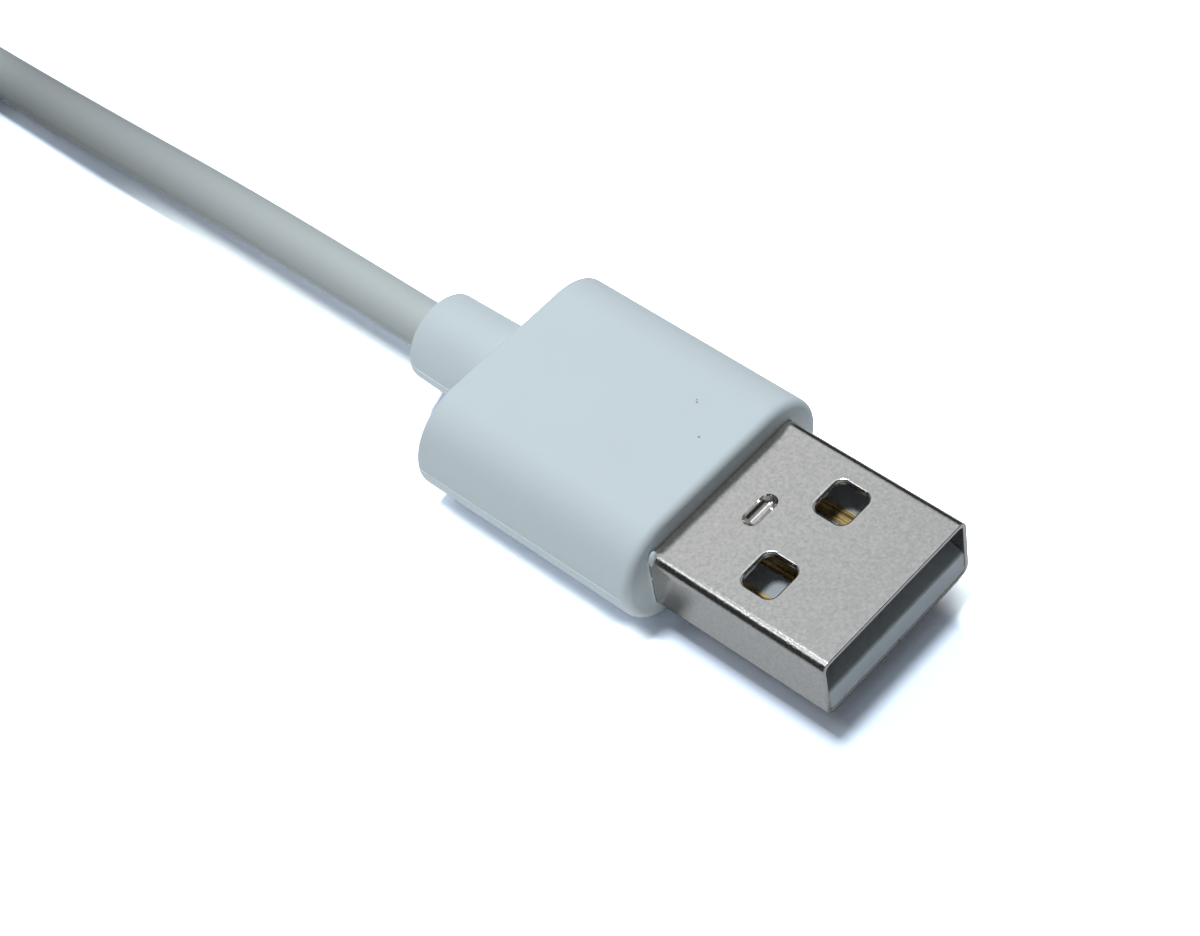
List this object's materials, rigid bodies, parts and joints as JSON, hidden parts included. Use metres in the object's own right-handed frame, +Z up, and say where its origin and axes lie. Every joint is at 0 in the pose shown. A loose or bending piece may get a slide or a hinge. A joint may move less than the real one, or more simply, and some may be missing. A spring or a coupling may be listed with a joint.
{
  "type": "smartwatch charging cable",
  "caption": "White charging cable with a flat metal plug in a moulded grip, a thin round cord folded into a strapped hank, and a round dished puck that charges a watch laid on it.",
  "frame": {"origin": "under the middle of the plug, on the surface that it lies on", "axes": "+X the way the plug goes in, +Y across the plug, +Z up"},
  "size_m": [0.1526, 0.0401, 0.0145],
  "materials": {
    "shell_nickel": "satin nickel plate with a fine pebbled grain",
    "tongue_plastic": "matt white moulding",
    "contact_gold": "gold plate",
    "inner_plastic": "waxy natural white",
    "grip_plastic": "satin white, soft",
    "cord_jacket": "satin off-white, soft",
    "band_strap": "matt white",
    "puck_plastic": "smooth white",
    "board_laminate": "green solder mask",
    "chip_resin": "black resin",
    "capacitor_ceramic": "tan ceramic",
    "ferrite": "dark sintered grey",
    "coil_copper": "enamelled copper",
    "magnet_plating": "bright nickel plate",
    "power_wire": "red insulation",
    "ground_wire": "black insulation"
  },
  "bodies": {
    "root": {"plug_shell": "shell_nickel", "contact_tongue": "tongue_plastic", "power_contact": "contact_gold", "data_contact_minus": "contact_gold", "data_contact_plus": "contact_gold", "ground_contact": "contact_gold", "plug_inner_mould": "inner_plastic", "plug_overmould": "grip_plastic", "plug_power_wire": "power_wire", "plug_ground_wire": "ground_wire", "cord_run": "cord_jacket", "cord_hank": "cord_jacket", "cord_tail": "cord_jacket", "cord_band": "band_strap", "puck_base": "puck_plastic", "puck_face": "puck_plastic", "puck_sleeve": "cord_jacket", "puck_board": "board_laminate", "puck_chip": "chip_resin", "puck_capacitors": "capacitor_ceramic", "ferrite_shield": "ferrite", "charging_coil": "coil_copper", "puck_magnet": "magnet_plating", "puck_power_wire": "power_wire", "puck_ground_wire": "ground_wire"}
  },
  "joints": []
}
